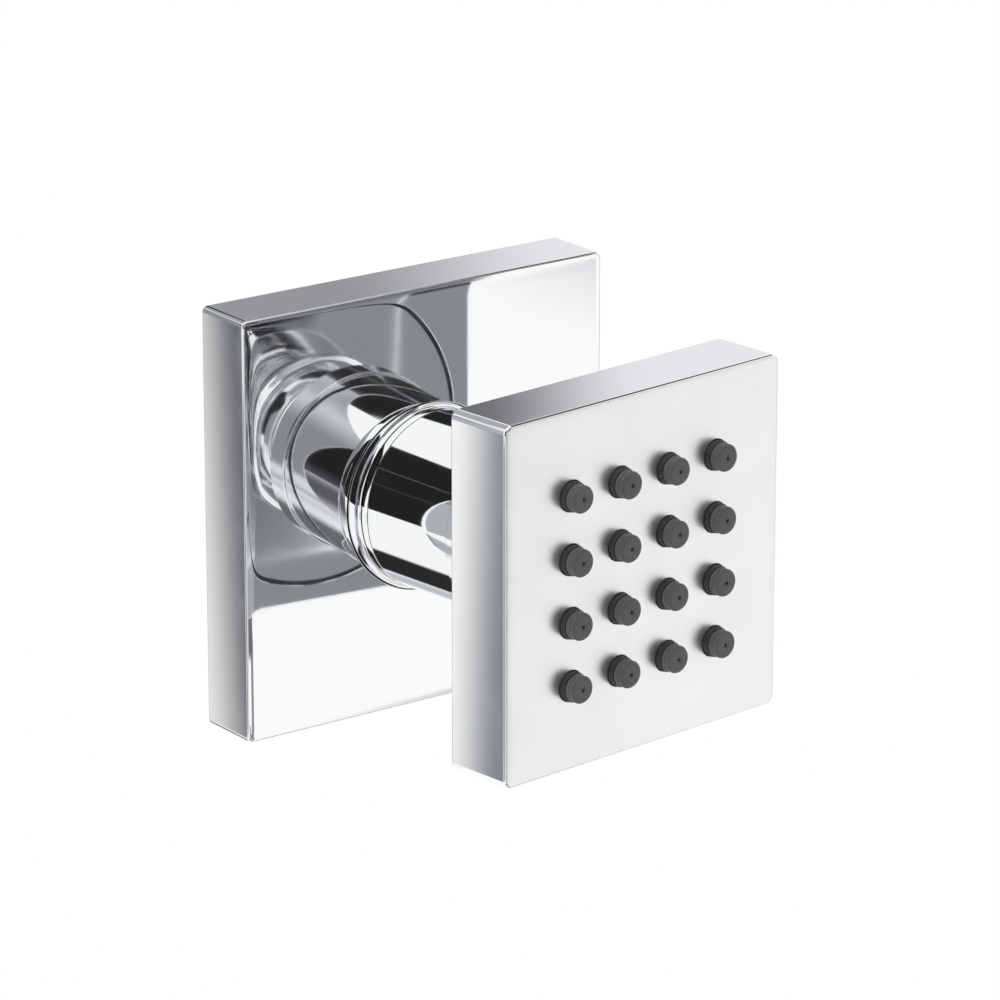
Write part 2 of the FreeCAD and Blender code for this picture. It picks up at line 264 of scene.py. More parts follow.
class Workpiece:
    """One mesh on the bench, in its own axis's millimetres until it is placed."""

    def __init__(self, shape: bpy.types.Object) -> None:
        """Take up an object that already has a mesh."""
        self.shape = shape

    def _pick_up(self) -> None:
        """Make this the one selected and active object."""
        clear_bench()
        self.shape.select_set(True)
        bpy.context.view_layer.objects.active = self.shape

    @classmethod
    def turned(
        cls, name: str, outline: Sequence[Point], sides: int = 128, solid: bool = False
    ) -> "Workpiece":
        """Turn an outline round the axis, ring by ring.

        Args:
            name: The piece's name.
            outline: Radius and height of each corner in millimetres, never on the axis.
            sides: Straight sides to a full turn.
            solid: Whether discs close the first and last ring, instead of a closed outline
                round a hole.

        Returns:
            The turned piece.
        """
        clear_bench()
        radius, height = outline[0]
        bpy.ops.mesh.primitive_circle_add(
            vertices=sides, radius=radius * MM, location=(0, 0, height * MM),
            fill_type="NGON" if solid else "NOTHING")
        shape = bpy.context.object
        shape.name = name
        bpy.ops.object.mode_set(mode="EDIT")
        bpy.ops.mesh.select_all(action="SELECT")
        for next_radius, next_height in outline[1:] if solid else [*outline[1:], outline[0]]:
            rise = (next_height - height) * MM
            bpy.ops.mesh.extrude_region_move(TRANSFORM_OT_translate={"value": (0, 0, rise)})
            scale = next_radius / radius
            bpy.ops.transform.resize(value=(scale, scale, 1), center_override=(0, 0, next_height * MM))
            radius, height = next_radius, next_height
        bpy.ops.mesh.select_all(action="SELECT")
        bpy.ops.mesh.remove_doubles(threshold=WELD)
        bpy.ops.mesh.normals_make_consistent(inside=False)
        bpy.ops.object.mode_set(mode="OBJECT")
        bpy.ops.object.transform_apply(location=True, rotation=True, scale=True)
        return cls(shape)

    @classmethod
    def block(cls, name: str, side: float, low: float, high: float) -> "Workpiece":
        """Start a square block centred on the axis.

        Args:
            name: The piece's name.
            side: Width across the flats, in millimetres.
            low: Height of its rear face, in millimetres.
            high: Height of its front face, in millimetres.

        Returns:
            The block.
        """
        clear_bench()
        bpy.ops.mesh.primitive_cube_add(size=1, location=(0, 0, (low + high) / 2 * MM))
        shape = bpy.context.object
        shape.name = name
        shape.scale = (side * MM, side * MM, (high - low) * MM)
        bpy.ops.object.transform_apply(location=True, rotation=True, scale=True)
        return cls(shape)

    @classmethod
    def rounded_block(
        cls, name: str, side: float, low: float, high: float,
        corner: Rounding, front: Rounding, rear: Rounding
    ) -> "Workpiece":
        """Start a square block with rounded edges.

        Args:
            name: The piece's name.
            side: Width across the flats, in millimetres.
            low: Height of its rear face, in millimetres.
            high: Height of its front face, in millimetres.
            corner: Rounding of the four edges along the axis.
            front: Rounding of the front face's edges.
            rear: Rounding of the rear face's edges.

        Returns:
            The block.
        """
        block = cls.block(name, side, low, high)
        flat = side / 2 - NEAR
        block.round_edges(lambda middle: abs(middle.x) > flat and abs(middle.y) > flat, corner)
        block.round_edges(lambda middle: middle.z > high - NEAR, front)
        block.round_edges(lambda middle: middle.z < low + NEAR, rear)
        return block

    def _choose(self, kind: str, chosen: Test) -> None:
        """Enter edit mode with only those faces, edges or points selected that pass a test.

        Args:
            kind: FACE, where every corner has to pass, EDGE, where its middle has to, or VERT.
            chosen: Says from a place in millimetres whether it passes.
        """
        self._pick_up()
        bpy.ops.object.mode_set(mode="EDIT")
        bpy.ops.mesh.select_mode(type=kind)
        bpy.ops.mesh.select_all(action="DESELECT")
        bpy.ops.object.mode_set(mode="OBJECT")
        mesh = self.shape.data
        places = [vertex.co / MM for vertex in mesh.vertices]
        if kind == "EDGE":
            for edge in mesh.edges:
                edge.select = chosen((places[edge.vertices[0]] + places[edge.vertices[1]]) / 2)
        elif kind == "FACE":
            passed = [chosen(place) for place in places]
            for face in mesh.polygons:
                face.select = all(passed[number] for number in face.vertices)
        else:
            for vertex, place in zip(mesh.vertices, places):
                vertex.select = chosen(place)
        bpy.ops.object.mode_set(mode="EDIT")

    def round_edges(self, chosen: Test, rounding: Rounding) -> None:
        """Round the edges whose middle passes a test.

        Args:
            chosen: Says from a place in millimetres whether it passes.
            rounding: Distance from the edge at which the rounding starts, and its faces.
        """
        self._choose("EDGE", chosen)
        width, segments = rounding
        bpy.ops.mesh.bevel(offset=width * MM, segments=segments, profile=0.5, affect="EDGES")
        bpy.ops.object.mode_set(mode="OBJECT")

    def crown(self, side: float, front: float, drop: float, fall: float) -> None:
        """Let a square front fall away softly towards its four edges, as polishing leaves it.

        Args:
            side: Width of the block across the flats, in millimetres.
            front: Height of its front face, in millimetres.
            drop: How far the front has fallen at its edges, in millimetres.
            fall: Distance from the edge over which the fall eases off, in millimetres.
        """
        skin = front - CROWN_SKIN
        rings = [fall * share for share in CROWN_RINGS]
        for axis in range(2):
            for way in (1, -1):
                for ring in rings:
                    place, facing = Vector((0, 0, 0)), Vector((0, 0, 0))
                    place[axis] = way * (side / 2 - ring) * MM
                    facing[axis] = 1
                    self._choose("FACE", lambda point: point.z > skin)
                    bpy.ops.mesh.bisect(plane_co=place, plane_no=facing, threshold=WELD / 100)
        for axis in range(2):
            for near, far in zip(rings, [*rings[1:], None]):
                left = math.exp(-far / fall) if far else 0.0
                lowered = drop * (math.exp(-near / fall) - left)
                self._choose("VERT", lambda point: point.z > skin
                             and abs(point[axis]) > side / 2 - near - NEAR)
                bpy.ops.transform.translate(value=(0, 0, -lowered * MM))
        bpy.ops.object.mode_set(mode="OBJECT")

    def combine(self, other: "Workpiece", operation: str) -> None:
        """Unite, cut or intersect with another piece, which is used up.

        Args:
            other: The other piece.
            operation: UNION, DIFFERENCE or INTERSECT.
        """
        self._pick_up()
        modifier = self.shape.modifiers.new("combine", "BOOLEAN")
        modifier.operation = operation
        modifier.solver = "EXACT"
        modifier.object = other.shape
        bpy.ops.object.modifier_apply(modifier=modifier.name)
        other.discard()

    def copies_at(self, places: Sequence[Point]) -> list["Workpiece"]:
        """Use the piece up for copies, each with its own mesh.

        Args:
            places: Where the copies stand across the axis, in millimetres.

        Returns:
            The copies.
        """
        copies = []
        for x, y in places:
            self._pick_up()
            bpy.ops.object.duplicate(linked=False)
            bpy.context.object.location = (x * MM, y * MM, 0)
            bpy.ops.object.transform_apply(location=True, rotation=True, scale=True)
            copies.append(Workpiece(bpy.context.object))
        self.discard()
        return copies

    def join(self, others: Sequence["Workpiece"]) -> None:
        """Take other pieces into this mesh as they are."""
        self._pick_up()
        for other in others:
            other.shape.select_set(True)
        bpy.ops.object.join()

    def discard(self) -> None:
        """Remove the piece and its mesh."""
        mesh = self.shape.data
        bpy.data.objects.remove(self.shape)
        bpy.data.meshes.remove(mesh)

    def smooth(self, angle: float) -> None:
        """Shade curved runs smooth and keep flat faces flat.

        Args:
            angle: Faces that meet at more than this many degrees keep a sharp edge.
        """
        self._pick_up()
        bpy.ops.object.shade_smooth_by_angle(angle=math.radians(angle))
        modifier = self.shape.modifiers.new("flats", "WEIGHTED_NORMAL")
        modifier.mode = "FACE_AREA"
        modifier.weight = 100
        modifier.keep_sharp = True
        bpy.ops.object.modifier_apply(modifier=modifier.name)

    def dress(self, material: bpy.types.Material, patches: Sequence[tuple[bpy.types.Material, Test]]) -> None:
        """Give the piece its material, and further ones to some of its faces.

        Args:
            material: The material of the whole piece.
            patches: Further materials, each with a test that every corner of its faces passes.
        """
        materials = self.shape.data.materials
        materials.clear()
        materials.append(material)
        for number, (further, chosen) in enumerate(patches, 1):
            materials.append(further)
            self._choose("FACE", chosen)
            self.shape.active_material_index = number
            bpy.ops.object.material_slot_assign()
            bpy.ops.mesh.select_mode(type="VERT")
            bpy.ops.object.mode_set(mode="OBJECT")

    def place(self, placement: Placement) -> None:
        """Move the mesh from its own axis to its place in the frame."""
        self._pick_up()
        self.shape.matrix_world = placement.matrix
        bpy.ops.object.transform_apply(location=True, rotation=True, scale=True)


@dataclass(frozen=True)
class Chrome:
    """Decorative chrome plating over polished brass: a bright mirror, faintly cool.

    The plating follows the polishing under it, so the mirror keeps a slow waviness of a few
    centimetres and a haze too fine to see but for a softer edge in the reflections.
    """

    name: str = "polished_chrome_plate"
    colour: str = "#F9FAFB"
    roughness: float = 0.02
    haze: float = 0.03
    haze_width: float = 9.0
    wave_width: float = 22.0
    wave_height: float = 0.0006

    def make(self) -> bpy.types.Material:
        """Build the material.

        Returns:
            The plating's material.
        """
        material, tree, shader, place = start_material(self.name)
        haze = add_node(tree, "ShaderNodeTexNoise", {
            "Vector": place, "Scale": 1 / (self.haze_width * MM), "Detail": 3.0, "Roughness": 0.6})
        rough = add_node(tree, "ShaderNodeMapRange", {
            "Value": haze.outputs["Fac"], "From Min": 0.35, "From Max": 0.7,
            "To Min": self.roughness, "To Max": self.roughness + self.haze})
        wave = add_node(tree, "ShaderNodeTexNoise", {
            "Vector": place, "Scale": 1 / (self.wave_width * MM), "Detail": 0.0})
        bump = add_node(tree, "ShaderNodeBump", {
            "Height": wave.outputs["Fac"], "Strength": 1.0, "Distance": self.wave_height * MM})
        feed(tree, shader, {
            "Base Color": linear(self.colour), "Metallic": 1.0, "Roughness": rough.outputs["Result"],
            "Normal": bump.outputs["Normal"]})
        return material


@dataclass(frozen=True)
class TurnedBrass:
    """Free-cutting brass as it comes off the lathe: warm, bright, with fine tool rings.

    Rings as close as the tool's feed are too fine to show, so they are drawn 2 pi times as coarse.
    """

    name: str = "turned_brass"
    colour: str = "#D9B36A"
    worn_colour: str = "#B98F4B"
    roughness: float = 0.24
    ring_pitch: float = 0.35
    ring_height: float = 0.004
    stain_width: float = 6.0

    def make(self) -> bpy.types.Material:
        """Build the material.

        Returns:
            The brass's material.
        """
        material, tree, shader, place = start_material(self.name)
        stain = add_node(tree, "ShaderNodeTexNoise", {
            "Vector": place, "Scale": 1 / (self.stain_width * MM), "Detail": 4.0})
        colour = add_node(tree, "ShaderNodeMix", {
            "Factor": stain.outputs["Fac"], "A": linear(self.worn_colour), "B": linear(self.colour)},
            data_type="RGBA")
        rings = add_node(tree, "ShaderNodeTexWave", {
            "Vector": place, "Scale": 1 / (self.ring_pitch * MM) / WAVE_RADIANS, "Distortion": 0.4,
            "Detail": 1.0}, bands_direction="Y")
        rough = add_node(tree, "ShaderNodeMapRange", {
            "Value": rings.outputs["Fac"], "To Min": self.roughness, "To Max": self.roughness + 0.12})
        bump = add_node(tree, "ShaderNodeBump", {
            "Height": rings.outputs["Fac"], "Strength": 0.6, "Distance": self.ring_height * MM})
        feed(tree, shader, {
            "Base Color": colour.outputs["Result"], "Metallic": 1.0, "Roughness": rough.outputs["Result"],
            "Normal": bump.outputs["Normal"]})
        return material


@dataclass(frozen=True)
class MouldedRubber:
    """Moulded rubber: matt and dark, with the fine grain of a blasted mould.

    The real grain is finer than a tenth of a millimetre, and is drawn coarser so that it shows.
    """

    name: str
    colour: str
    dusty_colour: str
    roughness: float = 0.52
    grain: float = 0.12
    grain_height: float = 0.006
    mottle_width: float = 2.5

    def make(self) -> bpy.types.Material:
        """Build the material.

        Returns:
            The rubber's material.
        """
        material, tree, shader, place = start_material(self.name)
        mottle = add_node(tree, "ShaderNodeTexNoise", {
            "Vector": place, "Scale": 1 / (self.mottle_width * MM), "Detail": 5.0})
        colour = add_node(tree, "ShaderNodeMix", {
            "Factor": mottle.outputs["Fac"], "A": linear(self.colour), "B": linear(self.dusty_colour)},
            data_type="RGBA")
        grain = add_node(tree, "ShaderNodeTexNoise", {
            "Vector": place, "Scale": 1 / (self.grain * MM), "Detail": 2.0})
        rough = add_node(tree, "ShaderNodeMapRange", {
            "Value": grain.outputs["Fac"], "To Min": self.roughness - 0.08, "To Max": self.roughness + 0.1})
        bump = add_node(tree, "ShaderNodeBump", {
            "Height": grain.outputs["Fac"], "Strength": 0.5, "Distance": self.grain_height * MM})
        feed(tree, shader, {
            "Base Color": colour.outputs["Result"], "Specular IOR Level": 0.42,
            "Roughness": rough.outputs["Result"], "Normal": bump.outputs["Normal"]})
        return material


@dataclass(frozen=True)
class CellFoam:
    """Closed cell foam cut from sheet: matt, with cells a fraction of a millimetre wide."""

    name: str = "closed_cell_foam"
    colour: str = "#3A3B3D"
    cell_colour: str = "#232426"
    cell: float = 0.45
    cell_depth: float = 0.05

    def make(self) -> bpy.types.Material:
        """Build the material.

        Returns:
            The foam's material.
        """
        material, tree, shader, place = start_material(self.name)
        cells = add_node(tree, "ShaderNodeTexVoronoi", {"Vector": place, "Scale": 1 / (self.cell * MM)})
        colour = add_node(tree, "ShaderNodeMix", {
            "Factor": cells.outputs["Distance"], "A": linear(self.cell_colour), "B": linear(self.colour)},
            data_type="RGBA")
        bump = add_node(tree, "ShaderNodeBump", {
            "Height": cells.outputs["Distance"], "Strength": 0.7, "Distance": self.cell_depth * MM})
        feed(tree, shader, {
            "Base Color": colour.outputs["Result"], "Roughness": 0.9, "Normal": bump.outputs["Normal"]})
        return material


@dataclass(frozen=True)
class StainlessSheet:
    """Punched stainless sheet: grey, with rolling lines along it, drawn coarse enough to show."""

    name: str = "rolled_stainless_sheet"
    colour: str = "#BDBEC0"
    roughness: float = 0.3
    line_width: float = 0.15
    line_stretch: float = 0.04

    def make(self) -> bpy.types.Material:
        """Build the material.

        Returns:
            The sheet's material.
        """
        material, tree, shader, place = start_material(self.name)
        along = add_node(tree, "ShaderNodeMapping", {"Vector": place, "Scale": (self.line_stretch, 1.0, 1.0)})
        lines = add_node(tree, "ShaderNodeTexNoise", {
            "Vector": along.outputs["Vector"], "Scale": 1 / (self.line_width * MM), "Detail": 2.0})
        rough = add_node(tree, "ShaderNodeMapRange", {
            "Value": lines.outputs["Fac"], "To Min": self.roughness - 0.08, "To Max": self.roughness + 0.15})
        feed(tree, shader, {
            "Base Color": linear(self.colour), "Metallic": 1.0, "Roughness": rough.outputs["Result"]})
        return material


@dataclass(frozen=True)
class MouldedAcetal:
    """White moulded acetal: waxy, slightly warm, with faint flow clouding."""

    name: str = "moulded_acetal"
    colour: str = "#F1F0EB"
    cloud_colour: str = "#E6E4DD"
    roughness: float = 0.36
    cloud_width: float = 4.0

    def make(self) -> bpy.types.Material:
        """Build the material.

        Returns:
            The plastic's material.
        """
        material, tree, shader, place = start_material(self.name)
        cloud = add_node(tree, "ShaderNodeTexNoise", {
            "Vector": place, "Scale": 1 / (self.cloud_width * MM), "Detail": 2.0})
        colour = add_node(tree, "ShaderNodeMix", {
            "Factor": cloud.outputs["Fac"], "A": linear(self.colour), "B": linear(self.cloud_colour)},
            data_type="RGBA")
        rough = add_node(tree, "ShaderNodeMapRange", {
            "Value": cloud.outputs["Fac"], "To Min": self.roughness, "To Max": self.roughness + 0.1})
        feed(tree, shader, {
            "Base Color": colour.outputs["Result"], "IOR": 1.48, "Roughness": rough.outputs["Result"]})
        return material


class Finishes:
    """The finishes of this object, each made once."""

    def __init__(self) -> None:
        """Make every finish."""
        self.chrome = Chrome().make()
        # Polished less at the head's back, where the mirror turns soft and loses small things.
        self.soft_chrome = Chrome("softly_polished_chrome_plate", roughness=0.08).make()
        # Brushed to satin at the spray face, which looks evenly pale and mirrors no nozzle.
        self.satin_chrome = Chrome("satin_chrome_plate", "#FEFEFF", roughness=0.31, haze=0.04).make()
        self.brass = TurnedBrass().make()
        # The nozzles: the rubber's own dark grey at their ends, with painted shade darkening their
        # collars where they meet the face, and painted light making their barrels paler.
        self.nozzle_rubber = MouldedRubber("moulded_silicone_rubber", "#48484A", "#555557").make()
        self.collar_painted_shade_rubber = MouldedRubber("silicone_rubber_painted_shade", "#343436", "#3E3E40").make()
        self.barrel_painted_light_rubber = MouldedRubber("silicone_rubber_painted_light", "#58585A", "#666668").make()
        # Nitrile is nearly black and a little shinier than silicone.
        self.seal_rubber = MouldedRubber("moulded_nitrile_rubber", "#1E1E1F", "#2B2B2C", 0.45).make()
        self.foam = CellFoam().make()
        self.stainless = StainlessSheet().make()
        self.acetal = MouldedAcetal().make()


@dataclass
class SubAssembly:
    """Pieces on one axis that ride on one body."""

    axis: Placement
    finishes: Finishes
    body: Body

    def _finish(
        self, piece: Workpiece, material: bpy.types.Material, slot: Slot, *nodes: str,
        patches: Sequence[tuple[bpy.types.Material, Test]] = (), angle: float = 32.0
    ) -> None:
        """Smooth, dress and place a piece, and set it on the body in place of CAD nodes.

        Args:
            piece: The piece, still on its own axis.
            material: Its finish.
            slot: The record's slot that its finish belongs to. It is not used.
            *nodes: The CAD nodes that it stands for.
            patches: Further finishes, each with a test that every corner of its faces passes.
            angle: Faces that meet at more than this many degrees keep a sharp edge.
        """
        piece.smooth(angle)
        piece.dress(material, patches)
        piece.place(self.axis)
        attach(piece.shape, self.body.value)
        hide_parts(*nodes)
        LOG.info("%s: %d faces, on %s", piece.shape.name, len(piece.shape.data.polygons), self.body.value)


@dataclass
class WallPlate(SubAssembly):
    """Hollow square cover plate with a round mouth, and the foam frame behind it."""

    wall: float = 2.0
    front_wall: float = 2.0
    corner_round: Rounding = (0.8, 6)
    front_round: Rounding = (0.3, 5)
    rear_round: Rounding = (0.25, 3)
    crown_drop: float = 0.16
    crown_fall: float = 0.5
    mouth_radius: float = 13.38
    mouth_taper: float = 0.2
    taper_start: float = 0.1
    mouth_ease: float = 0.12
    sleeve_inner: float = 16.6
    sleeve_outer: float = 18.4
    sleeve_rear: float = 2.2
    sleeve_bite: float = 0.3
    sleeve_ease: float = 0.2
    gasket_width: float = 3.8
    gasket_round: Rounding = (0.3, 3)

    def build(self) -> None:
        """Build the plate and its gasket."""
        self._plate()
        self._gasket()

    def _plate(self) -> None:
        """Model the plate from one block."""
        low, high = self.axis.span("wall_plate")
        side, depth = high.x - low.x, high.z
        plate = Workpiece.rounded_block(
            "wall_plate_chrome", side, 0, depth, self.corner_round, self.front_round, self.rear_round)
        inside = depth - self.front_wall
        plate.combine(Workpiece.block("pocket", side - 2 * self.wall, -SPARE, inside), "DIFFERENCE")
        throat = self.mouth_radius - self.mouth_taper
        lip = self.mouth_radius + self.mouth_ease
        mouth = Workpiece.turned("mouth_cutter", [
            (throat, inside - SPARE), (throat, inside + self.taper_start),
            *arc(lip, depth - self.mouth_ease, self.mouth_ease, math.pi, math.pi / 2, steps=5),
            (lip, depth + SPARE), (self.mouth_radius + 3 * SPARE, depth + 2 * SPARE)], sides=160, solid=True)
        plate.combine(mouth, "DIFFERENCE")
        sleeve_front = inside + self.sleeve_bite
        sleeve = Workpiece.turned("sleeve", eased([
            (self.sleeve_inner, self.sleeve_rear), (self.sleeve_inner, sleeve_front),
            (self.sleeve_outer, sleeve_front), (self.sleeve_outer, self.sleeve_rear)], self.sleeve_ease))
        plate.combine(sleeve, "UNION")
        plate.crown(side, depth, self.crown_drop, self.crown_fall)
        self._finish(plate, self.finishes.chrome, Slot.CHROME, "wall_plate")

    def _gasket(self) -> None:
        """Model the foam frame in the plate's rim."""
        low, high = self.axis.span("wall_gasket")
        side = high.x - low.x
        gasket = Workpiece.block("wall_gasket_foam", side, low.z, high.z)
        hole = Workpiece.block("gasket_hole", side - 2 * self.gasket_width, low.z - SPARE, high.z + SPARE)
        gasket.combine(hole, "DIFFERENCE")
        gasket.round_edges(lambda middle: middle.z < low.z + NEAR, self.gasket_round)
        self._finish(gasket, self.finishes.foam, Slot.FOAM, "wall_gasket")


@dataclass
class Inlet(SubAssembly):
    """Brass inlet body with its pipe thread, and the filter washer in its mouth."""

    thread_radius: float = 10.4775
    thread_pitch: float = 1.814
    thread_depth: float = 1.16
    thread_crest: float = 0.25
    thread_steps: int = 72
    # Turns that are wound before and after the thread's length and then cut off.
    spare_turns: tuple[int, int] = (2, 3)
    lead_in: float = 0.9
    hexagon_flats: float = 32.4
    hexagon_chamfer: float = 1.1
    cup_inner: float = 13.9
    cup_outer: float = 16.2
    cup_floor: float = 1.3
    cup_rear: float = 1.9
    cup_front: float = 6.2
    groove_low: float = 3.2
    groove_high: float = 4.9
    groove_radius: float = 15.1
    stem_radius: float = 5.5
    ball_radius: float = 8.5
    bore_radius: float = 4.0
    filter_seat: Point = (8.0, 3.0)
    regulator_seat: Point = (6.4, 8.6)
    washer_hole: float = 5.4
    washer_ease: float = 0.35

    def build(self) -> None:
        """Build the inlet body and the washer."""
        self._body()
        self._washer()

    def _thread(self, rear: float) -> Workpiece:
        """Model the pipe thread as a solid bar with a helical ridge.

        Args:
            rear: Height of the thread's free end, in millimetres.

        Returns:
            The threaded bar.
        """
        clear_bench()
        root = self.thread_radius - self.thread_depth
        flank = (self.thread_pitch - 2 * self.thread_crest) / 2
        before, after = self.spare_turns
        start = rear - before * self.thread_pitch
        corners = [
            (root, 0), (root, self.thread_crest), (self.thread_radius, self.thread_crest + flank),
            (self.thread_radius, 2 * self.thread_crest + flank), (root, self.thread_pitch)]
        bpy.ops.mesh.primitive_plane_add(size=MM, location=(root * MM, 0, start * MM))
        shape = bpy.context.object
        shape.name = "thread"
        bpy.ops.object.mode_set(mode="EDIT")
        bpy.ops.mesh.select_mode(type="VERT")
        bpy.ops.mesh.select_all(action="SELECT")
        bpy.ops.mesh.merge(type="CENTER")
        for (radius, height), (next_radius, next_height) in zip(corners, corners[1:]):
            step = ((next_radius - radius) * MM, 0, (next_height - height) * MM)
            bpy.ops.mesh.extrude_vertices_move(TRANSFORM_OT_translate={"value": step})
        bpy.ops.object.mode_set(mode="OBJECT")
        bpy.ops.object.transform_apply(location=True, rotation=True, scale=True)
        winding = shape.modifiers.new("winding", "SCREW")
        winding.screw_offset = self.thread_pitch * MM
        winding.iterations = math.ceil(-rear / self.thread_pitch) + before + after
        winding.steps = winding.render_steps = self.thread_steps
        winding.use_merge_vertices = True
        winding.merge_threshold = WELD
        bpy.ops.object.modifier_apply(modifier=winding.name)
        bpy.ops.object.mode_set(mode="EDIT")
        for height, keep_above in ((rear, True), (self.cup_rear / 2, False)):
            bpy.ops.mesh.select_all(action="SELECT")
            bpy.ops.mesh.remove_doubles(threshold=WELD)
            bpy.ops.mesh.bisect(
                plane_co=(0, 0, height * MM), plane_no=(0, 0, 1), use_fill=True,
                clear_inner=keep_above, clear_outer=not keep_above)
        bpy.ops.mesh.select_all(action="SELECT")
        bpy.ops.mesh.normals_make_consistent(inside=False)
        bpy.ops.object.mode_set(mode="OBJECT")
        return Workpiece(shape)

    def _hexagon(self) -> Workpiece:
        """Model the hexagon with its corners chamfered as on a turned nut.

        Returns:
            The hexagon.
        """
        clear_bench()
        corner = self.hexagon_flats / 2 / math.cos(math.pi / 6)
        bpy.ops.mesh.primitive_cylinder_add(
            vertices=6, radius=corner * MM, depth=self.cup_rear * MM,
            location=(0, 0, self.cup_rear / 2 * MM), rotation=(0, 0, math.pi / 6))
        bpy.ops.object.transform_apply(location=True, rotation=True, scale=True)
        nut = Workpiece(bpy.context.object)
        drop = self.hexagon_chamfer / 2
        reach = corner - self.hexagon_chamfer
        nut.combine(Workpiece.turned("chamfer_blank", [
            (reach, 0), (corner + CLEAR, drop), (corner + CLEAR, self.cup_rear - drop),
            (reach, self.cup_rear)], solid=True), "INTERSECT")
        return nut

    def _body(self) -> None:
        """Model the inlet body as one turned and threaded piece."""
        rear = self.axis.rear("inlet_body")
        centre = self.axis.front("wall_plate")
        filter_radius, filter_depth = self.filter_seat
        regulator_radius, regulator_depth = self.regulator_seat
        ball = arc(0, centre, self.ball_radius, -math.acos(self.stem_radius / self.ball_radius),
                   math.acos(self.bore_radius / self.ball_radius), steps=28)
        under_floor = self.cup_floor - SPARE
        body = Workpiece.turned("inlet_body_brass", [
            (self.cup_outer, self.cup_rear), (self.cup_outer, self.groove_low),
            (self.groove_radius, self.groove_low), (self.groove_radius, self.groove_high),
            (self.cup_outer, self.groove_high), (self.cup_outer, self.cup_front),
            (self.cup_inner, self.cup_front), (self.cup_inner, self.cup_floor),
            (self.stem_radius, self.cup_floor), *ball,
            (self.bore_radius, under_floor), (self.groove_radius, under_floor)])
        body.combine(self._hexagon(), "UNION")
        thread = self._thread(rear)
        thread.combine(Workpiece.turned("thread_blank", [
            (self.thread_radius - self.lead_in, rear), (self.thread_radius + CLEAR, rear + self.lead_in),
            (self.thread_radius + CLEAR, self.cup_floor)], sides=96, solid=True), "INTERSECT")
        body.combine(thread, "UNION")
        body.combine(Workpiece.turned("bore_cutter", [
            (filter_radius, rear - SPARE), (filter_radius, rear + filter_depth),
            (regulator_radius, rear + filter_depth), (regulator_radius, rear + regulator_depth),
            (self.bore_radius, rear + regulator_depth), (self.bore_radius, self.cup_rear)],
            solid=True), "DIFFERENCE")
        self._finish(body, self.finishes.brass, Slot.BRASS, "inlet_body", angle=28)

    def _washer(self) -> None:
        """Model the rubber washer that holds the filter disc."""
        low, high = self.axis.span("filter_washer")
        washer = Workpiece.turned("filter_washer_rubber", eased([
            (self.washer_hole, low.z), (self.washer_hole, high.z), (high.y, high.z), (high.y, low.z)],
            self.washer_ease), sides=96)
        self._finish(washer, self.finishes.seal_rubber, Slot.SEAL_RUBBER, "filter_washer")


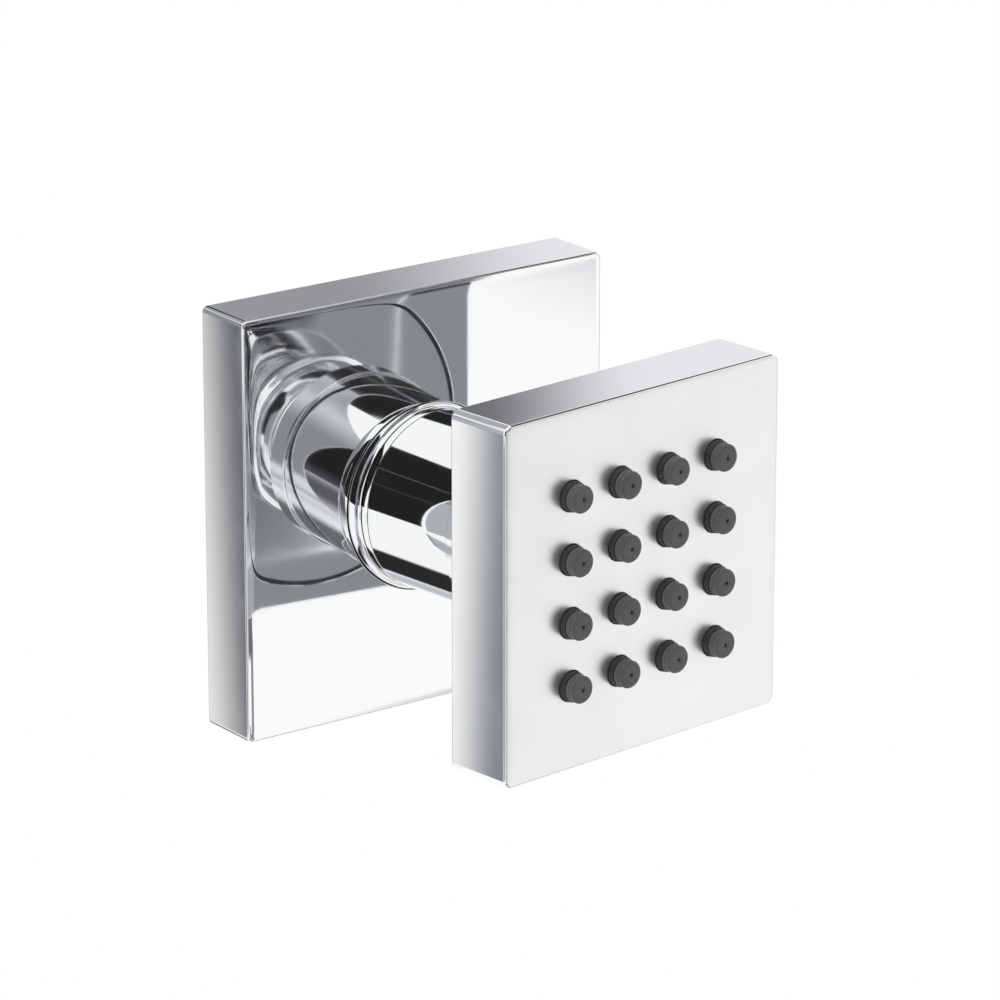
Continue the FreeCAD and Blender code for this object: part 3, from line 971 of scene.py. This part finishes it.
@dataclass
class Neck(SubAssembly):
    """Round chrome neck: swivel nut, neck body, trim ring and ridged connector."""

    cavity_radius: float = 9.45
    thread_radius: float = 10.9
    thread_play: float = 0.05
    nut_front: float = 1.95
    shoulder_radius: float = 13.25
    shoulder_width: float = 2.0
    shoulder_slope: float = 0.3
    nut_lip: float = 2.2
    groove_place: float = 0.75
    groove_depth: float = 0.45
    groove_width: float = 0.26
    groove_ease: float = 0.04
    joint_line: float = 0.12
    edge_ease: float = 0.1
    thread_depth: float = 7.0
    front_thread_radius: float = 8.0
    passage_radius: float = 4.5
    connector_radius: float = 9.5
    ring_gap: float = 0.1
    collar_radius: float = 10.4
    collar_width: float = 1.0
    collar_ease: float = 0.25
    ridge_pitch: float = 1.2
    ridge_gap: float = 0.5
    ridge_depth: float = 0.35
    ridge_ease: float = 0.1
    spigot_radius: float = 7.0
    sides: int = 192

    def build(self) -> None:
        """Build the four turned pieces."""
        self._nut()
        self._body()
        self._ring()
        self._connector()

    def _turn(self, node: str, outline: Sequence[Point], sides: int) -> None:
        """Turn one chrome piece and finish it.

        Args:
            node: The CAD node that it stands for.
            outline: Radius and height of each corner in millimetres.
            sides: Straight sides to a full turn.
        """
        piece = Workpiece.turned(f"{node}_chrome", outline, sides)
        self._finish(piece, self.finishes.chrome, Slot.CHROME, node)

    def _nut(self) -> None:
        """Model the swivel nut: round like a ball where it turns in the plate's mouth."""
        radius = self.axis.radius("neck_body")
        tail = self.axis.rear("swivel_nut")
        bore = self.thread_radius + self.thread_play
        lip = tail + self.nut_lip
        shoulder, width, front = self.shoulder_radius, self.shoulder_width, self.nut_front
        slope_end = math.asin((width + self.shoulder_slope) / radius)
        # The ball, the shoulder in front of it, and a small step down to the neck's own radius.
        ball = [
            *arc(0, 0, radius, math.asin(tail / radius), -slope_end, steps=16),
            *arc(0, 0, shoulder, -math.asin(width / shoulder), 0, steps=8),
            (shoulder - 0.1, 0.05), (radius + 0.05, 0.08), (radius, 0.13)]
        low = self.groove_place - self.groove_width / 2
        high = self.groove_place + self.groove_width / 2
        floor, ease = radius - self.groove_depth, self.groove_ease
        groove = [
            (radius, low - ease), (radius - ease, low), (floor, low + ease / 2),
            (floor, high - ease / 2), (radius - ease, high), (radius, high + ease)]
        ease = self.edge_ease
        # Two points in between round the rim's corner.
        rim = [
            (radius, front - ease), (radius - ease * 0.1, front - ease * 0.45),
            (radius - ease * 0.45, front - ease * 0.1), (radius - ease, front)]
        cavity = [(math.sqrt(self.cavity_radius ** 2 - height ** 2), height)
                  for height in (lip, (lip + tail) / 2, tail)]
        self._turn("swivel_nut", [*ball, *groove, *rim, (bore, front), (bore, lip), *cavity], self.sides)

    def _body(self) -> None:
        """Model the neck body with its ball cavity, passage and threads."""
        radius = self.axis.radius("neck_body")
        spigot, front = self.axis.rear("neck_body"), self.axis.front("neck_body")
        rear = self.nut_front + self.joint_line
        thread_bottom = front - self.thread_depth
        outside = eased([
            (self.front_thread_radius, front), (radius, front), (radius, rear), (self.thread_radius, rear)],
            self.edge_ease)
        cavity_end = math.acos(self.passage_radius / self.cavity_radius)
        self._turn("neck_body", [
            *outside, (self.thread_radius, spigot), (self.cavity_radius, spigot),
            *arc(0, 0, self.cavity_radius, 0, cavity_end, steps=10), (self.passage_radius, thread_bottom),
            (self.front_thread_radius, thread_bottom)], self.sides)

    def _ring(self) -> None:
        """Model the trim ring."""
        low, high = self.axis.span("trim_ring")
        inner = self.connector_radius + self.thread_play
        self._turn("trim_ring", eased([
            (inner, low.z), (inner, high.z), (high.y, high.z), (high.y, low.z)], self.edge_ease), self.sides)

    def _connector(self) -> None:
        """Model the connector and the ridges of its barrel."""
        low, high = self.axis.span("connector")
        neck_front = self.axis.front("neck_body")
        boss_rear = self.axis.rear("back_cover")
        collar_rear = self.axis.front("trim_ring") + self.ring_gap
        collar_front = collar_rear + self.collar_width
        thread = self.front_thread_radius - self.thread_play
        radius, ease = self.connector_radius, self.ridge_ease
        outline: list[Point] = [
            (thread, low.z), (thread, neck_front), (radius, neck_front + 2 * NEAR),
            (radius, collar_rear), (self.collar_radius, collar_rear),
            (self.collar_radius, collar_front - self.collar_ease),
            (self.collar_radius - self.collar_ease, collar_front), (radius, collar_front)]
        floor = radius - self.ridge_depth
        height = collar_front + self.ridge_pitch / 2
        while height + self.ridge_gap < boss_rear - self.ridge_pitch / 2:
            end = height + self.ridge_gap
            outline += [
                (radius, height - ease), (radius - ease / 2, height), (floor, height + ease),
                (floor, end - ease), (radius - ease / 2, end), (radius, end + ease)]
            height += self.ridge_pitch
        outline += [
            (radius, boss_rear), (self.spigot_radius, boss_rear), (self.spigot_radius, high.z),
            (self.passage_radius, high.z), (self.passage_radius, low.z)]
        self._turn("connector", outline, sides=128)


@dataclass
class SprayHead(SubAssembly):
    """Square chrome spray head with its round back cover and rubber nozzles."""

    corner_round: Rounding = (1.2, 8)
    front_round: Rounding = (0.4, 6)
    rear_round: Rounding = (0.3, 4)
    crown_drop: float = 0.12
    crown_fall: float = 0.5
    face_wall: float = 1.6
    chamber_radius: float = 21.6
    cover_thickness: float = 2.4
    cover_edge: float = 0.1
    cover_gap: float = 0.05
    seam_width: float = 0.5
    seam_depth: float = 0.4
    seam_chamfer: float = 0.1
    ring_sink: float = 0.04
    ring_ease: float = 0.05
    boss_radius: float = 11.5
    # The boss's rounded edge: where its rounding starts, and how far in its middle lies.
    boss_round: Point = (0.45, 0.13)
    boss_fillet: float = 0.6
    hub_radius: float = 10.0
    hub_height: float = 1.2
    skirt_gap: float = 0.3
    skirt_wall: float = 2.3
    passage_radius: float = 4.5
    spigot_bore: float = 7.05
    spigot_length: float = 4.8
    spigot_chamfer: float = 0.2
    rows: int = 4
    pitch: float = 8.8
    nozzle_root: float = 0.3
    nozzle_radius: float = 2.08
    hole_radius: float = 2.15
    hole_ease: float = 0.15
    collar_height: float = 0.8
    # Points along a collar's rounded front edge: how far in, and how far down.
    collar_round: tuple[Point, ...] = ((0.0, 0.16), (0.02, 0.06), (0.08, 0.0))
    groove_radius: float = 1.8
    groove_width: float = 0.14
    barrel_radius: float = 1.97
    # The barrel's rear edge: how far in it starts, and how far up it reaches the full radius.
    barrel_ease: Point = (0.06, 0.07)
    waist_start: float = 0.1
    waist_radius: float = 1.86
    tip_radius: float = 1.92
    tip_round: float = 0.5
    tip_sink: float = 0.05
    # The outlet from its outer rim to its bore: radius, and depth under the tip.
    outlet: tuple[Point, ...] = (
        (0.7, 0.01), (0.55, 0.01), (0.5, 0.06), (0.42, 0.04), (0.3, 0.04), (0.26, 0.1), (0.26, 0.8),
        (0.5, 1.0))
    sides: int = 192
    nozzle_sides: int = 48

    def build(self) -> None:
        """Build the shell, its cover, the seam's ring and the nozzles."""
        self._shell()
        self._cover()
        self._seam()
        self._nozzles()

    def _places(self) -> list[Point]:
        """Centres of the nozzles across the spray face, in millimetres."""
        line = [(number - (self.rows - 1) / 2) * self.pitch for number in range(self.rows)]
        return [(x, y) for y in line for x in line]

    def _shell(self) -> None:
        """Model the square block with its chamber and nozzle holes."""
        low, high = self.axis.span("head_shell")
        side = high.x - low.x
        shell = Workpiece.rounded_block(
            "head_shell_chrome", side, low.z, high.z, self.corner_round, self.front_round, self.rear_round)
        inside = high.z - self.face_wall
        step = low.z + self.cover_thickness
        seam = low.z + self.seam_depth
        seat = self.axis.radius("back_cover") + self.cover_gap
        rim, chamfer = seat + self.seam_width, self.seam_chamfer
        shell.combine(Workpiece.turned("chamber_cutter", [
            (rim + SPARE + chamfer, low.z - SPARE), (rim + chamfer, low.z), (rim, low.z + chamfer),
            (rim, seam), (seat, seam), (seat, step), (self.chamber_radius, step),
            (self.chamber_radius, inside)], self.sides, solid=True), "DIFFERENCE")
        hole, ease = self.hole_radius, self.hole_ease
        drill = Workpiece.turned("nozzle_drill", [
            (hole, inside - SPARE), (hole, high.z - ease), (hole + ease * 0.3, high.z - ease * 0.3),
            (hole + ease, high.z), (hole + ease, high.z + SPARE)], self.nozzle_sides, solid=True)
        drills = drill.copies_at(self._places())
        drills[0].join(drills[1:])
        shell.combine(drills[0], "DIFFERENCE")
        shell.crown(side, high.z, self.crown_drop, self.crown_fall)
        self._finish(shell, self.finishes.chrome, Slot.CHROME, "head_shell", patches=[
            (self.finishes.satin_chrome, lambda point: point.z > high.z - self.crown_drop - NEAR),
            (self.finishes.soft_chrome, lambda point: point.z < low.z + NEAR)])

    def _cover(self) -> None:
        """Model the back cover with its boss, hub and skirt."""
        low, high = self.axis.span("back_cover")
        back = self.axis.rear("head_shell")
        front = back + self.cover_thickness
        hub_front = front + self.hub_height
        radius, boss, fillet, edge = high.y, self.boss_radius, self.boss_fillet, self.cover_edge
        chamfer, (start, middle) = self.spigot_chamfer, self.boss_round
        skirt = self.chamber_radius - self.skirt_gap
        skirt_inner = skirt - self.skirt_wall
        cover = Workpiece.turned("back_cover_chrome", [
            (self.spigot_bore, low.z + chamfer), (self.spigot_bore + chamfer, low.z), (boss - start, low.z),
            (boss - middle, low.z + middle), (boss, low.z + start), (boss, back - fillet),
            (boss + fillet * 0.3, back - fillet * 0.3), (boss + fillet, back), (radius - edge, back),
            (radius, back + edge), (radius, front), (skirt, front), (skirt, high.z), (skirt_inner, high.z),
            (skirt_inner, front), (self.hub_radius, front), (self.hub_radius, hub_front),
            (self.passage_radius, hub_front), (self.passage_radius, low.z + self.spigot_length),
            (self.spigot_bore, low.z + self.spigot_length)], self.sides)
        self._finish(cover, self.finishes.soft_chrome, Slot.CHROME, "back_cover")

    def _seam(self) -> None:
        """Model the thin rubber ring in the seam between the shell and its cover."""
        back = self.axis.rear("head_shell")
        inner = self.axis.radius("back_cover") + NEAR
        outer = inner + self.cover_gap + self.seam_width - 2 * NEAR
        floor = back + self.seam_depth - 2 * NEAR
        sink, ease = self.ring_sink, self.ring_ease
        ring = Workpiece.turned("seam_ring_rubber", [
            (inner, back + 2 * sink), (inner + ease, back + sink), (outer - ease, back + sink),
            (outer, back + 2 * sink), (outer, floor), (inner, floor)], self.sides)
        self._finish(ring, self.finishes.seal_rubber, Slot.SEAL_RUBBER)

    def _nozzles(self) -> None:
        """Model one nozzle, repeat it, and set all on their mat."""
        low, high = self.axis.span("nozzle_mat")
        face, tip, root = self.axis.front("head_shell"), high.z, low.z + self.nozzle_root
        collar = face + self.collar_height
        barrel = collar + self.groove_width
        wide, slim, (inset, rise) = self.nozzle_radius, self.barrel_radius, self.barrel_ease
        mat = Workpiece.turned(
            "nozzle_mat_rubber", [(high.y, low.z), (high.y, face - self.face_wall)], sides=96, solid=True)
        outer = [
            (wide, root), *[(wide - across, collar - down) for across, down in self.collar_round],
            (self.groove_radius, collar + NEAR), (self.groove_radius, barrel - NEAR),
            (slim - inset, barrel), (slim, barrel + rise)]
        steps = 6
        waist = barrel + self.waist_start
        length = tip - self.tip_round - waist
        sag = (slim + self.tip_radius) / 2 - self.waist_radius
        for share in (step / steps for step in range(1, steps + 1)):
            line = slim + (self.tip_radius - slim) * share
            outer.append((line - sag * math.sin(math.pi * share), waist + length * share))
        dome = arc(self.tip_radius - self.tip_round, tip - self.tip_sink - self.tip_round, self.tip_round,
                   0, math.pi / 2, steps)[1:]
        bore = self.outlet[-1][0]
        mouth = [*[(radius, tip - depth) for radius, depth in self.outlet], (bore, root)]
        nozzle = Workpiece.turned("nozzle", [*outer, *dome, *mouth], self.nozzle_sides)
        mat.join(nozzle.copies_at(self._places()))
        shoulder = tip - self.tip_round * 0.6
        # Painted shade on the collars, painted light on the barrels.
        self._finish(mat, self.finishes.nozzle_rubber, Slot.NOZZLE_RUBBER, "nozzle_mat", angle=38, patches=[
            (self.finishes.collar_painted_shade_rubber, lambda point: point.z < barrel + NEAR),
            (self.finishes.barrel_painted_light_rubber, lambda point: barrel - NEAR < point.z < shoulder)])


@dataclass
class HiddenPieces:
    """CAD nodes that keep their own meshes inside the joint, the inlet and the head."""

    finishes: Finishes

    def build(self) -> None:
        """Give each kept node its finish."""
        rubber = ("plate_ring", "regulator_ring", "front_ball_seal", "neck_washer", "cover_ring")
        plastic = ("flow_regulator", "rear_ball_seat", "spreader_plate")
        kept = ((self.finishes.seal_rubber, rubber), (self.finishes.stainless, ("filter_mesh",)),
                (self.finishes.acetal, plastic))
        for material, names in kept:
            for name in names:
                node = frame["nodes"][name]
                node.data.materials.clear()
                node.data.materials.append(material)
                LOG.info("%s keeps its CAD mesh", name)


@dataclass(frozen=True)
class Card:
    """A flat studio card that only the chrome sees, graded across and soft at its edges.

    Its direction is in degrees, with an azimuth of 0 behind the wall, 180 in front of the head
    and -90 to the left. Its sizes are in millimetres. It has one shade, or a second one at its
    right end. The softness is the share of its width and of its height that fades out.
    """

    name: str
    azimuth: float
    elevation: float
    width: float
    height: float
    shade: str
    end_shade: str = ""
    soft: Point = (0.1, 0.1)
    distance: float = 500.0
    turn: float = 0.0
    ramp: Point = (0.0, 1.0)

    def build(self, aim: Vector) -> None:
        """Hang the card in its direction from a point, facing it.

        Args:
            aim: The point that the card faces.
        """
        clear_bench()
        turn, rise = math.radians(self.azimuth), math.radians(self.elevation)
        away = Vector((math.sin(turn) * math.cos(rise), math.cos(turn) * math.cos(rise), math.sin(rise)))
        bpy.ops.mesh.primitive_plane_add(size=1)
        card = bpy.context.object
        card.name = self.name
        right = away.cross(Vector((0, 0, 1))).normalized()
        facing = Matrix((right, right.cross(away), -away)).transposed().to_4x4()
        card.matrix_world = (
            Matrix.Translation(aim + away * self.distance * MM) @ facing
            @ Matrix.Rotation(math.radians(self.turn), 4, "Z")
            @ Matrix.Diagonal((self.width * MM, self.height * MM, 1, 1)))
        card.data.materials.append(self._material())
        card.visible_camera = False
        card.visible_diffuse = False
        card.visible_shadow = False
        card.visible_transmission = False

    def _material(self) -> bpy.types.Material:
        """Make the card's graded shade and soft edges.

        Returns:
            The card's material.
        """
        material = bpy.data.materials.new(self.name)
        material.use_nodes = True
        material.cycles.emission_sampling = "NONE"
        tree = material.node_tree
        tree.nodes.remove(tree.nodes["Principled BSDF"])
        place = add_node(tree, "ShaderNodeTexCoord").outputs["UV"]
        split = add_node(tree, "ShaderNodeSeparateXYZ", {"Vector": place})
        across = add_node(tree, "ShaderNodeMapRange", {
            "Value": split.outputs["X"], "From Min": self.ramp[0], "From Max": self.ramp[1]},
            interpolation_type="SMOOTHSTEP")
        shade = add_node(tree, "ShaderNodeMix", {
            "Factor": across.outputs["Result"], "A": linear(self.shade),
            "B": linear(self.end_shade or self.shade)}, data_type="RGBA")
        glow = add_node(tree, "ShaderNodeEmission", {"Color": shade.outputs["Result"]})
        clear = add_node(tree, "ShaderNodeBsdfTransparent")
        fades = [self._fade(tree, split.outputs[name], soft) for name, soft in zip("XY", self.soft)]
        cover = add_node(tree, "ShaderNodeMath", {0: fades[0], 1: fades[1]}, operation="MULTIPLY")
        mixed = add_node(tree, "ShaderNodeMixShader", {
            "Fac": cover.outputs["Value"], 1: clear.outputs["BSDF"], 2: glow.outputs["Emission"]})
        feed(tree, tree.nodes["Material Output"], {"Surface": mixed.outputs["Shader"]})
        return material

    @staticmethod
    def _fade(tree: bpy.types.NodeTree, place: bpy.types.NodeSocket, soft: float) -> bpy.types.NodeSocket:
        """Fade to nothing towards both ends of one direction.

        Args:
            tree: The card's node tree.
            place: The socket that runs from 0 to 1 along the card.
            soft: Share of the length over which each end fades.

        Returns:
            The socket with the cover.
        """
        offset = add_node(tree, "ShaderNodeMath", {0: place, 1: 0.5}, operation="SUBTRACT")
        reach = add_node(tree, "ShaderNodeMath", {0: offset.outputs["Value"]}, operation="ABSOLUTE")
        fade = add_node(tree, "ShaderNodeMapRange", {
            "Value": reach.outputs["Value"], "From Min": 0.5 - soft, "From Max": 0.5,
            "To Min": 1.0, "To Max": 0.0}, interpolation_type="SMOOTHSTEP")
        return fade.outputs["Result"]


CHROME_CARDS = (
    # Behind the object: what the neck and the back of the head mirror.
    Card("card_back", -12, 2, 980, 860, "#8E9094", soft=(0.03, 0.28), distance=530),
    Card("card_back_low_light", -39, -21, 150, 170, "#E4E5E6", soft=(0.3, 0.25)),
    Card("card_back_low_dark", -3, -37, 340, 150, "#686A6D", soft=(0.25, 0.3), distance=505),
    Card("card_back_high", 18, 30, 195, 130, "#2A2A2C"),
    Card("card_back_right", 27.5, 8, 125, 330, "#2A2A2C", soft=(0.1, 0.08)),
    Card("card_head_back", 25.5, -20, 150, 165, "#8A8C90", soft=(0.1, 0.05), distance=480),
    # In front: the grey that the plate mirrors beside the head.
    Card("card_front", 156.1, -13.3, 145, 128, "#8C8E92", soft=(0.1, 0.03), distance=480),
    Card("card_front_right", 146.2, -14.9, 32, 34, "#8C8E92", soft=(0.05, 0.05), distance=479),
    Card("card_front_foot", 158.5, -28, 46, 112, "#8C8E92", soft=(0.03, 0.03), distance=479),
    Card("card_front_left", 161.5, -19.3, 90, 48, "#6E7074", soft=(0.2, 0.05), distance=478),
    Card("card_front_low", 174, -32.2, 270, 90, "#7A7C80", soft=(0.05, 0.03), distance=485),
    # To the left and below: the neck's dark bands, with two thin lines in the upper one.
    Card("card_left_fall", -159, -14, 200, 310, "#5A5B5E", soft=(0.05, 0.45), distance=510),
    Card("card_left", -142, 17, 400, 465, "#222224", soft=(0.01, 0.01), turn=-7),
    Card("card_left_line_high", -136, 27, 120, 5, "#6A6B6E", soft=(0.1, 0.3), distance=495, turn=-7),
    Card("card_left_line_low", -131, 14, 120, 4, "#56575A", soft=(0.1, 0.3), distance=495, turn=-7),
    Card("card_low", -167, -46, 245, 110, "#2A2A2C", soft=(0.12, 0.1)),
    Card("card_low_grey", 162, -44, 200, 160, "#C4C6C9", soft=(0.3, 0.2), distance=505),
    # Above: the neck's top and the dark half of the squares' upper edges.
    Card("card_top", 155.2, 23.8, 310, 196, "#242426", soft=(0.03, 0.04), turn=2.5),
    Card("card_top_low", 178, 17.5, 218, 112, "#2A2A2C", soft=(0.05, 0.05), distance=505),
    Card("card_edge_high", 102, 49, 470, 200, "#3A3B3E", distance=520),
    Card("card_ceiling", 48, 49, 200, 210, "#5A5B5E", soft=(0.2, 0.2), distance=515),
    # Soft falls of light on the squares' fronts and on their rims.
    Card("card_back_far", 54, -18, 105, 105, "#86888C"),
    Card("card_plate_foot", 137, -31, 130, 110, "#D2D4D6", soft=(0.4, 0.4), distance=480),
    Card("card_edge_low", 124, -52, 260, 120, "#3A3B3E", distance=480),
    Card("card_head_fade", 112, -17, 140, 300, "#C6C8CB", soft=(0.15, 0.1), distance=480, turn=2),
    Card("card_plate_fade", 138, -9, 100, 90, "#E4E5E7", soft=(0.35, 0.3), distance=480, turn=5),
    Card("card_rim_top", 155.5, 2, 195, 190, "#76777B", soft=(0.03, 0.05), distance=480, turn=2.5),
    Card("card_rim_left", 171, -17.2, 150, 80, "#86878B", soft=(0.1, 0.03), distance=480),
    Card("card_rim_head", 129, 5, 150, 150, "#BCBEC1", soft=(0.1, 0.3), distance=480),
    # Grades on the squares' left sides and tops, and greys for their edges and corners.
    Card("card_head_side", -55, -19.5, 30, 112, "#878A8E", "#FAFAFA", (0.001, 0.02), 376,
         ramp=(0.12, 0.58)),
    Card("card_neck_patch", -52, -17.5, 95, 115, "#B0B2B5", soft=(0.02, 0.02), distance=480),
    Card("card_corner_plate", -8, 40, 300, 110, "#96989B", soft=(0.2, 0.3)),
    Card("card_corner_head", -8, 49, 540, 125, "#AAACAF", soft=(0.1, 0.2), distance=505),
    Card("card_side_edges", -97, -19, 425, 95, "#6C6E71", soft=(0.05, 0.1)),
    Card("card_behind_head_side", -55, 0, 75, 250, "#B0B2B5", soft=(0.02, 0.03), distance=380),
    Card("card_plate_side", -35.9, -17.1, 22, 120, "#646669", "#F2F2F3", (0.001, 0.02), 380, -3.4,
         (0.02, 0.75)),
    Card("card_head_top", 41, 21.5, 90, 18, "#6F7175", "#E8E9EB", (0.01, 0.02), 380, -11, (0.2, 0.62)),
    Card("card_plate_top", 34.7, 19.8, 100, 18, "#98999C", "#E8E9EB", (0.01, 0.02), 380, -11,
         (0.35, 0.85)),
    # All round: grades that keep the chrome grey from the other sides.
    Card("card_side_left", -90, 2, 360, 240, "#7C7E82", "#E6E7E8", (0.15, 0.15), 520),
    Card("card_side_right", 90, -4, 300, 260, "#8A8C90", "#E6E7E8", (0.15, 0.15), 520),
    Card("card_sky", 0, 68, 500, 240, "#84868A", "#DADBDD", (0.15, 0.15), 520),
    Card("card_ahead", 178, 0, 220, 150, "#94969A", "#DCDDDF", (0.15, 0.2), 520),
    Card("card_foot", 180, -64, 430, 210, "#8E9094", "#DADBDD", (0.15, 0.15), 440),
)


@dataclass
class Studio:
    """Pale floor, soft light all round, cards for the chrome, and the photograph's camera."""

    aim: Vector
    focal_pixels: float = 5795.2
    frame_pixels: float = 1000.0
    distance: float = 800.0
    azimuth: float = 36.098
    elevation: float = 18.079
    aim_right: float = -73.249
    aim_down: float = -4.388
    sensor: float = 36.0
    clip: Point = (0.05, 20.0)
    floor_drop: float = 420.0
    floor_side: float = 6000.0

    def build(self) -> None:
        """Set up the floor, the light, the cards and the camera."""
        self._floor()
        self._world()
        for card in CHROME_CARDS:
            card.build(self.aim)
        self._camera()

    def _camera(self) -> None:
        """Place the camera so that the plate's middle falls where the photograph has it."""
        turn, rise = math.radians(self.azimuth), math.radians(self.elevation)
        back = Vector((-math.sin(turn) * math.cos(rise), -math.cos(turn) * math.cos(rise), math.sin(rise)))
        right = Vector((math.cos(turn), -math.sin(turn), 0))
        up = back.cross(right)
        scale = self.distance / self.focal_pixels * MM
        place = self.aim + back * self.distance * MM
        place -= right * self.aim_right * scale
        place += up * self.aim_down * scale
        lens = bpy.data.cameras.new("camera")
        lens.sensor_width = self.sensor
        lens.lens = self.focal_pixels / self.frame_pixels * self.sensor
        lens.clip_start, lens.clip_end = self.clip
        camera = bpy.data.objects.new("camera", lens)
        camera.matrix_world = Matrix.Translation(place) @ Matrix((right, up, back)).transposed().to_4x4()
        bpy.context.scene.collection.objects.link(camera)
        bpy.context.scene.camera = camera

    def _floor(self) -> None:
        """Lay the pale floor below the object."""
        clear_bench()
        bpy.ops.mesh.primitive_plane_add(size=self.floor_side * MM, location=(0, 0, -self.floor_drop * MM))
        floor = bpy.context.object
        floor.name = "floor"
        material = bpy.data.materials.new("pale_floor")
        material.use_nodes = True
        tree = material.node_tree
        feed(tree, tree.nodes["Principled BSDF"], {
            "Base Color": linear("#FFFFFF"), "Roughness": 1.0, "Specular IOR Level": 0.0})
        floor.data.materials.append(material)

    def _world(self) -> None:
        """Light the object from all sides, with white behind it."""
        world = bpy.data.worlds.new("studio")
        world.use_nodes = True
        bpy.context.scene.world = world
        tree = world.node_tree
        feed(tree, tree.nodes["Background"], {"Color": linear("#FFFFFF"), "Strength": 1.0})


def main() -> None:
    """Build every sub-assembly, then the studio."""
    logging.basicConfig(level=logging.INFO, format="%(message)s")
    bpy.context.scene.view_settings.view_transform = "Standard"
    wall, neck = wall_axis(), neck_axis()
    finishes = Finishes()
    WallPlate(wall, finishes, Body.WALL_SIDE).build()
    Inlet(wall, finishes, Body.WALL_SIDE).build()
    Neck(neck, finishes, Body.SPRAY_HEAD).build()
    SprayHead(neck, finishes, Body.SPRAY_HEAD).build()
    HiddenPieces(finishes).build()
    Studio(neck.matrix.translation.copy()).build()


if __name__ == "__main__":
    main()
